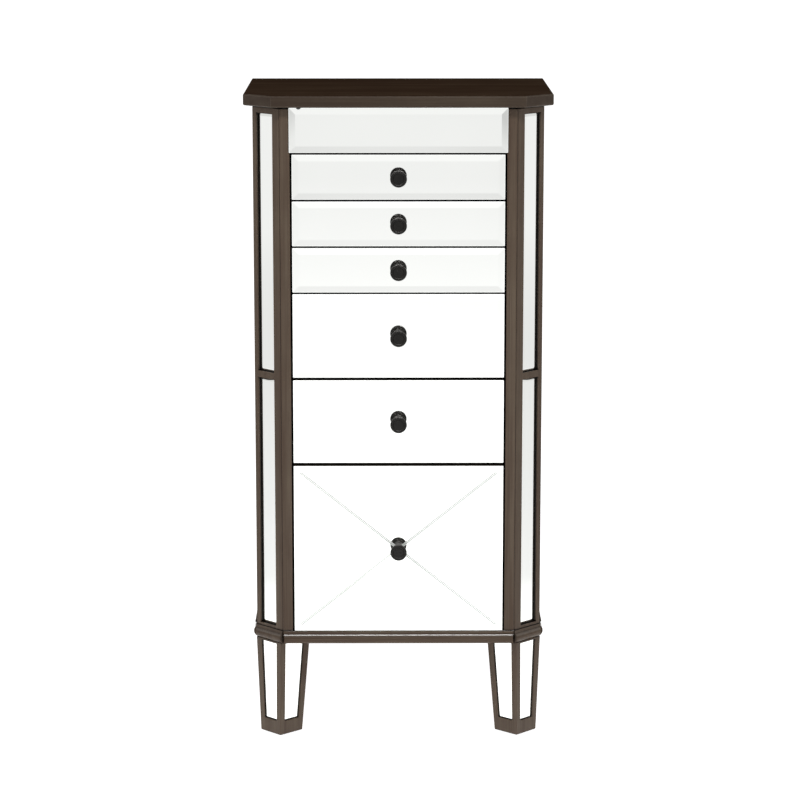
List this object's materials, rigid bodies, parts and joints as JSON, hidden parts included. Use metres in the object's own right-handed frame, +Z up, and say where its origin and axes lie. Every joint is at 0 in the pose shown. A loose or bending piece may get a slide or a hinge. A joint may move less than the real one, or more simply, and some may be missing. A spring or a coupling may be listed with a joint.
{
  "type": "standing jewellery chest",
  "caption": "Standing mirrored jewellery chest with a flip-top lid, bevelled-mirror drawers, canted mirrored corners, side cabinets and tapered mirrored legs.",
  "frame": {"origin": "On the floor, at the centre of the object's bounding box in plan.", "axes": "+Z up, the drawers face -Y, +X is to the right of someone facing the drawers."},
  "size_m": [0.47, 0.3524, 1.005],
  "materials": {
    "painted_wood": "dark bronze-brown paint, satin, smooth",
    "mirror_glass": "silvered glass with polished bevels",
    "dark_bronze": "dark oil-rubbed bronze, satin",
    "hinge_brass": "antique brass, satin",
    "felt": "taupe flocked felt",
    "rubber": "black rubber, matt",
    "catch_metal": "grey metal magnet case, satin"
  },
  "bodies": {
    "carcass": {"side_wall_left": "painted_wood", "side_wall_right": "painted_wood", "back_panel": "painted_wood", "bottom_board": "painted_wood", "tray_floor": "felt", "front_stile_left": "painted_wood", "front_stile_right": "painted_wood", "corner_frame_left": "painted_wood", "corner_frame_right": "painted_wood", "corner_mirrors": "mirror_glass", "apron_board": "painted_wood", "apron_mirror": "mirror_glass", "base_moulding": "painted_wood", "front_legs": "painted_wood", "rear_legs": "painted_wood", "leg_mirrors": "mirror_glass", "drawer_runners": "painted_wood", "tray_dividers": "felt", "ring_rolls": "felt", "hinge_leaves_fixed": "hinge_brass", "magnet_catches": "catch_metal", "leg_glides": "rubber", "side_frame_left": "painted_wood", "side_frame_right": "painted_wood"},
    "lid": {"lid_panel": "painted_wood", "lid_mirror": "mirror_glass", "lid_hinge_leaves": "hinge_brass", "lid_bumpers": "painted_wood"},
    "door_left": {"door_frame_left": "painted_wood", "door_mirror_left": "mirror_glass", "necklace_pegs_left": "hinge_brass", "door_leaves_left": "hinge_brass"},
    "door_right": {"door_frame_right": "painted_wood", "door_mirror_right": "mirror_glass", "necklace_pegs_right": "hinge_brass", "door_leaves_right": "hinge_brass"},
    "drawer_1": {"drawer_1_front": "painted_wood", "drawer_1_mirror": "mirror_glass", "drawer_1_knob": "dark_bronze", "drawer_1_box": "painted_wood"},
    "drawer_2": {"drawer_2_front": "painted_wood", "drawer_2_mirror": "mirror_glass", "drawer_2_knob": "dark_bronze", "drawer_2_box": "painted_wood"},
    "drawer_3": {"drawer_3_front": "painted_wood", "drawer_3_mirror": "mirror_glass", "drawer_3_knob": "dark_bronze", "drawer_3_box": "painted_wood"},
    "drawer_4": {"drawer_4_front": "painted_wood", "drawer_4_mirror": "mirror_glass", "drawer_4_knob": "dark_bronze", "drawer_4_box": "painted_wood"},
    "drawer_5": {"drawer_5_front": "painted_wood", "drawer_5_mirror": "mirror_glass", "drawer_5_knob": "dark_bronze", "drawer_5_box": "painted_wood"},
    "drawer_6": {"drawer_6_front": "painted_wood", "drawer_6_mirror": "mirror_glass", "drawer_6_knob": "dark_bronze", "drawer_6_box": "painted_wood"}
  },
  "joints": [
    {"name": "lid_hinge", "type": "hinge", "parent": "carcass", "child": "lid", "pos_m": [0, 0.17275, 0.9872], "axis": [-1, 0, 0], "range_deg": [0, 98]},
    {"name": "door_right_hinge", "type": "hinge", "parent": "carcass", "child": "door_right", "pos_m": [0.2242, 0.14555, 0.58], "axis": [0, 0, 1], "range_deg": [0, 105]},
    {"name": "door_left_hinge", "type": "hinge", "parent": "carcass", "child": "door_left", "pos_m": [-0.2242, 0.14555, 0.58], "axis": [0, 0, -1], "range_deg": [0, 105]},
    {"name": "drawer_1_slide", "type": "slide", "parent": "carcass", "child": "drawer_1", "axis": [0, -1, 0], "range_m": [0, 0.2]},
    {"name": "drawer_2_slide", "type": "slide", "parent": "carcass", "child": "drawer_2", "axis": [0, -1, 0], "range_m": [0, 0.2]},
    {"name": "drawer_3_slide", "type": "slide", "parent": "carcass", "child": "drawer_3", "axis": [0, -1, 0], "range_m": [0, 0.2]},
    {"name": "drawer_4_slide", "type": "slide", "parent": "carcass", "child": "drawer_4", "axis": [0, -1, 0], "range_m": [0, 0.2]},
    {"name": "drawer_5_slide", "type": "slide", "parent": "carcass", "child": "drawer_5", "axis": [0, -1, 0], "range_m": [0, 0.2]},
    {"name": "drawer_6_slide", "type": "slide", "parent": "carcass", "child": "drawer_6", "axis": [0, -1, 0], "range_m": [0, 0.2]}
  ]
}
